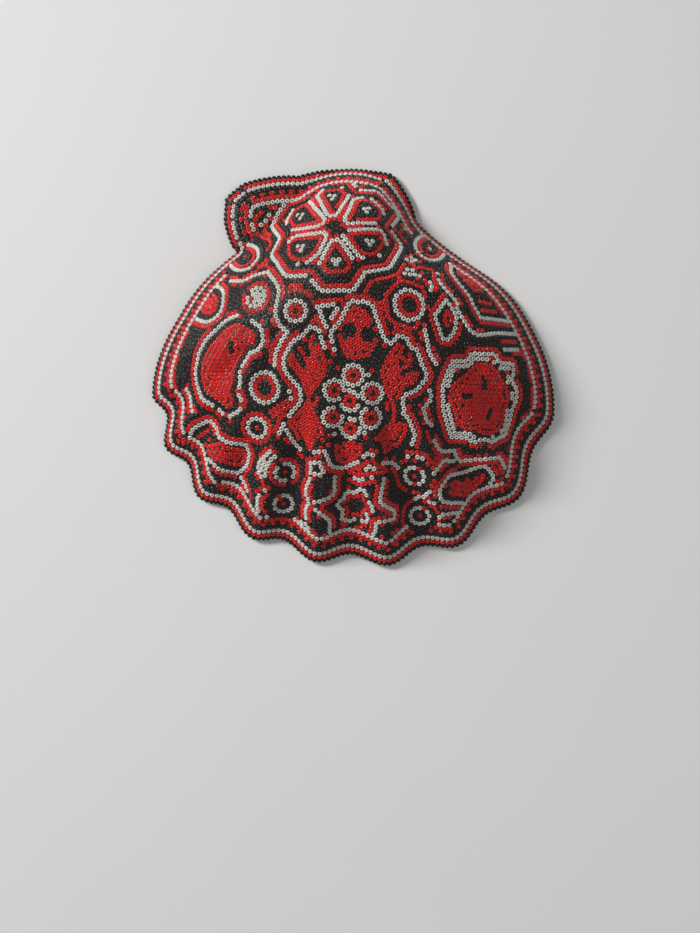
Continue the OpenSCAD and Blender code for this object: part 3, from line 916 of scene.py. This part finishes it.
def layerPiece(name, top, bottom, rings):
    # a closed solid between two depths, from the apex out to the margin
    around = layers["around"]
    a = np.arange(around) * 360 / around
    verts, centre = [], []
    for depth in (top, bottom):
        reach = marginR(a) - depth
        share = np.sin(np.linspace(0, 1, rings + 1)[1:] * np.pi / 2) ** 0.9
        p = apex + (reach[None] * share[:, None])[..., None] * unit(a)[None]
        z = heightAt(p, depth)
        verts.append(np.concatenate([p, z[..., None]], -1).reshape(-1, 3))
        centre.append([*apex, float(heightAt(apex[None], depth)[0])])
    side = rings * around
    verts = np.vstack([verts[0], verts[1], centre])
    i, j = np.meshgrid(np.arange(rings - 1), np.arange(around), indexing="ij")
    k = (j + 1) % around
    roof = np.stack([i * around + j, (i + 1) * around + j, (i + 1) * around + k, i * around + k],
                    -1).reshape(-1, 4)
    rim = np.arange(around)
    last = (rings - 1) * around
    after = (rim + 1) % around
    wall = np.stack([last + rim, side + last + rim, side + last + after, last + after], -1)
    quads = np.vstack([roof, roof[:, ::-1] + side, wall])
    mesh = bpy.data.meshes.new(name)
    fan = [(2 * side, int(q), int((q + 1) % around)) for q in rim]
    under = [(2 * side + 1, side + int((q + 1) % around), side + int(q)) for q in rim]
    mesh.from_pydata((verts * mm).tolist(), [], quads.tolist() + fan + under)
    mesh.polygons.foreach_set("use_smooth", np.ones(len(mesh.polygons), bool))
    mesh.update()
    made = bpy.data.objects.new(name, mesh)
    bpy.context.scene.collection.objects.link(made)
    return made


def waxMaterial():
    material, tree, shader = newMaterial(
        "beeswax", **{"Roughness": waxLook["rough"], "Subsurface Weight": waxLook["soft"],
                      "Subsurface Radius": (0.004, 0.002, 0.001)})
    node = tree.nodes.new("ShaderNodeGroup")
    node.node_tree = grain
    node.inputs["Scale"].default_value = waxLook["cloudScale"]
    node.inputs["Fine Scale"].default_value = waxLook["grainScale"]
    colour = mixColours(tree, node.outputs["Cloud"], waxLook["dark"], waxLook["light"])
    tree.links.new(colour, shader.inputs["Base Color"])
    bump = tree.nodes.new("ShaderNodeBump")
    bump.inputs["Strength"].default_value = waxLook["bump"]
    bump.inputs["Distance"].default_value = waxLook["bumpDeep"]
    tree.links.new(node.outputs["Height"], bump.inputs["Height"])
    tree.links.new(bump.outputs["Normal"], shader.inputs["Normal"])
    return material


def valveMaterial():
    # cream shell with rust rays from the umbo and growth lines round it
    material, tree, shader = newMaterial(
        "scallopShell", **{"Roughness": shellLook["rough"], "Coat Weight": shellLook["coat"],
                           "Coat Roughness": 0.15})
    place = tree.nodes.new("ShaderNodeTexCoord")
    apart = tree.nodes.new("ShaderNodeSeparateXYZ")
    tree.links.new(place.outputs["Object"], apart.inputs[0])
    dx = mathNode(tree, "SUBTRACT", apart.outputs[0], float(umbo[0]) * mm)
    dy = mathNode(tree, "SUBTRACT", apart.outputs[1], float(umbo[1]) * mm)
    far = mathNode(tree, "SQRT", mathNode(tree, "ADD", mathNode(tree, "MULTIPLY", dx, dx),
                                          mathNode(tree, "MULTIPLY", dy, dy)))
    turn = mathNode(tree, "ARCTAN2", dx, dy)
    node = tree.nodes.new("ShaderNodeGroup")
    node.node_tree = grain
    node.inputs["Scale"].default_value = shellLook["cloudScale"]
    node.inputs["Fine Scale"].default_value = shellLook["grainScale"]
    wobble = mathNode(tree, "MULTIPLY", node.outputs["Cloud"], 0.35)
    rays = mathNode(tree, "MULTIPLY", mathNode(tree, "ADD", turn, wobble), shellLook["rays"])
    rays = mathNode(tree, "SINE", rays)
    rays = mathNode(tree, "MULTIPLY_ADD", rays, 0.5, 0.5)
    rings = mathNode(tree, "ADD", far, mathNode(tree, "MULTIPLY", node.outputs["Cloud"], 0.004))
    rings = mathNode(tree, "SINE", mathNode(tree, "MULTIPLY", rings, shellLook["growth"]))
    rings = mathNode(tree, "MULTIPLY_ADD", rings, 0.5, 0.5)
    rim = mathNode(tree, "MULTIPLY_ADD", far, 12.0, -0.75)
    rim = mathNode(tree, "MINIMUM", mathNode(tree, "MAXIMUM", rim, 0.0), 1.0)
    cream = mixColours(tree, node.outputs["Cloud"], *shellLook["cream"])
    rust = mixColours(tree, node.outputs["Cloud"], *shellLook["rust"])
    tint = mathNode(tree, "MULTIPLY", rim, mathNode(tree, "MULTIPLY_ADD", rays, 0.45, 0.15))
    colour = mixColours(tree, tint, cream, rust)
    colour = mixColours(tree, mathNode(tree, "MULTIPLY", rings, 0.14), colour, shellLook["line"])
    tree.links.new(colour, shader.inputs["Base Color"])
    rough = mathNode(tree, "MULTIPLY_ADD", node.outputs["Cloud"], 0.25, 0.22)
    tree.links.new(rough, shader.inputs["Roughness"])
    height = mathNode(tree, "ADD", mathNode(tree, "MULTIPLY", rings, 0.5), node.outputs["Height"])
    bump = tree.nodes.new("ShaderNodeBump")
    bump.inputs["Strength"].default_value = shellLook["bump"]
    bump.inputs["Distance"].default_value = shellLook["bumpDeep"]
    tree.links.new(height, bump.inputs["Height"])
    tree.links.new(bump.outputs["Normal"], shader.inputs["Normal"])
    return material


wax = layerPiece("waxCoat", layers["waxTop"], valveDepth, 90)
wax.data.materials.append(waxMaterial())
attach(wax, "root")
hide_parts("wax_coat")
valve = layerPiece("scallopValve", valveDepth, hollowDepth, 110)
valve.data.materials.append(valveMaterial())
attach(valve, "root")
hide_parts("shell_valve")
print("wax and valve made")

# Floor, light and camera
studio = {"floor": (0.80, 0.80, 0.79), "world": 0.2, "keyPower": 24.0, "keySize": 0.5,
          "keyPlace": (-1.15, 0.66, 0.90), "fillPlace": (0.5, -0.4, 0.8),
          "fillPower": 1.6, "fillSize": 0.9, "far": 480, "over": (-1.2, -39.3), "lens": 46.6}


def softLight(name, place, size, power, aim=(0, 0, 0.02)):
    data = bpy.data.lights.new(name, "AREA")
    data.shape, data.size, data.energy = "DISK", size, power
    light = bpy.data.objects.new(name, data)
    light.location = place
    light.rotation_euler = (Vector(aim) - Vector(place)).to_track_quat("-Z", "Y").to_euler()
    bpy.context.scene.collection.objects.link(light)


def makeStudio():
    mesh = bpy.data.meshes.new("floor")
    edge = 3.0
    mesh.from_pydata([(-edge, -edge, 0), (edge, -edge, 0), (edge, edge, 0), (-edge, edge, 0)],
                     [], [(0, 1, 2, 3)])
    floor = bpy.data.objects.new("floor", mesh)
    bpy.context.scene.collection.objects.link(floor)
    material, tree, shader = newMaterial("paleFloor", **{"Roughness": 0.85})
    dimmer = tuple(0.97 * c for c in studio["floor"])
    colour = mixColours(tree, noiseNode(tree, 8.0), dimmer, studio["floor"])
    tree.links.new(colour, shader.inputs["Base Color"])
    mesh.materials.append(material)
    world = bpy.data.worlds.new("world")
    world.use_nodes = True
    world.node_tree.nodes["Background"].inputs[0].default_value = (1, 1, 1, 1)
    world.node_tree.nodes["Background"].inputs[1].default_value = studio["world"]
    bpy.context.scene.world = world
    softLight("key", studio["keyPlace"], studio["keySize"], studio["keyPower"])
    softLight("fill", studio["fillPlace"], studio["fillSize"], studio["fillPower"])
    view = bpy.data.cameras.new("camera")
    view.lens, view.sensor_width, view.sensor_fit = studio["lens"], 36, "AUTO"
    camera = bpy.data.objects.new("camera", view)
    camera.location = (studio["over"][0] * mm, studio["over"][1] * mm, studio["far"] * mm)
    bpy.context.scene.collection.objects.link(camera)
    bpy.context.scene.camera = camera
    bpy.context.scene.view_settings.view_transform = "Standard"


makeStudio()
print("studio ready")
